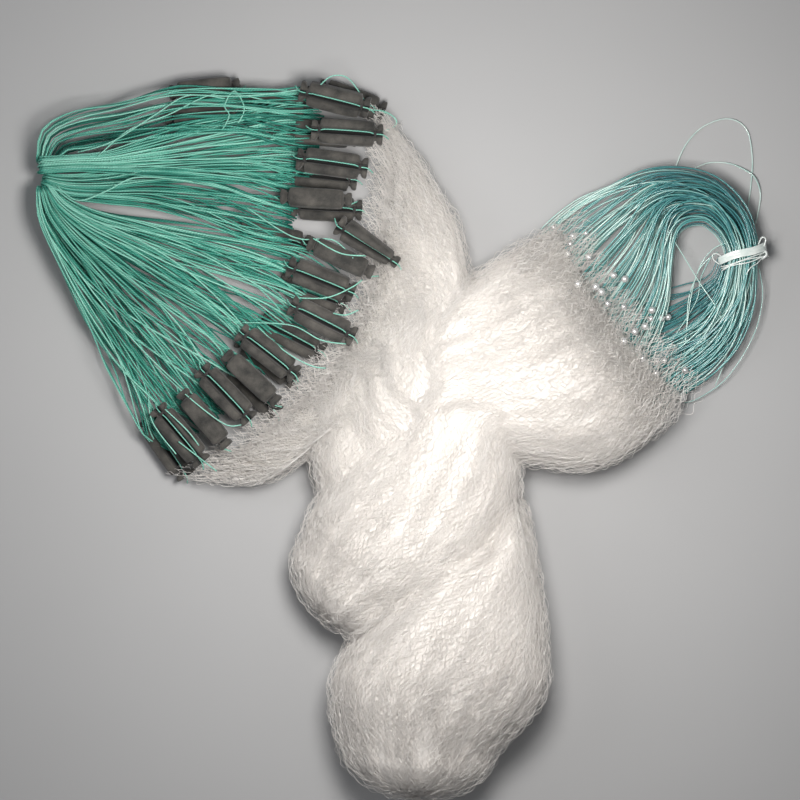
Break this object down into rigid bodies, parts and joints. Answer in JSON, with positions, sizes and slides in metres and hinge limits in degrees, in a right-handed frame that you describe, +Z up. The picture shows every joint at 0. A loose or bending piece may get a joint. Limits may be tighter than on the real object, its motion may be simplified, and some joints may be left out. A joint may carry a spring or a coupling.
{
  "type": "fishing net",
  "caption": "Gill net laid out flat: twisted bundle of white netting, hanked float line with foam floats, hanked lead line bound with a band.",
  "frame": {"origin": "on the surface the net lies on, under the middle of the whole net without its two loose bights of line", "axes": "+Z up from the surface, +X from the float line's hank towards the lead line's hank, +Y from the tail towards the arms"},
  "size_m": [0.5892, 0.5783, 0.093],
  "materials": {
    "netting": "fine white monofilament netting, soft silky sheen",
    "float_line": "twisted green multifilament line, slight sheen",
    "lead_line": "clear teal monofilament, glossy",
    "foam": "matt charcoal closed-cell foam",
    "band": "white film band, glossy",
    "leads": "small bright lead beads, satin"
  },
  "bodies": {
    "root": {"netting": "netting", "float_line_hank": "float_line", "lead_line_hank": "lead_line", "hank_band": "band", "tall_bight": "lead_line", "low_bight": "lead_line", "float_01": "foam", "float_02": "foam", "float_03": "foam", "float_04": "foam", "float_05": "foam", "float_06": "foam", "float_07": "foam", "float_08": "foam", "float_09": "foam", "float_10": "foam", "float_11": "foam", "float_12": "foam", "float_13": "foam", "float_14": "foam", "float_15": "foam", "float_16": "foam", "float_17": "foam", "float_18": "foam", "float_19": "foam", "float_20": "foam", "float_21": "foam", "float_22": "foam", "float_23": "foam", "float_24": "foam", "float_25": "foam", "float_26": "foam"}
  },
  "joints": []
}
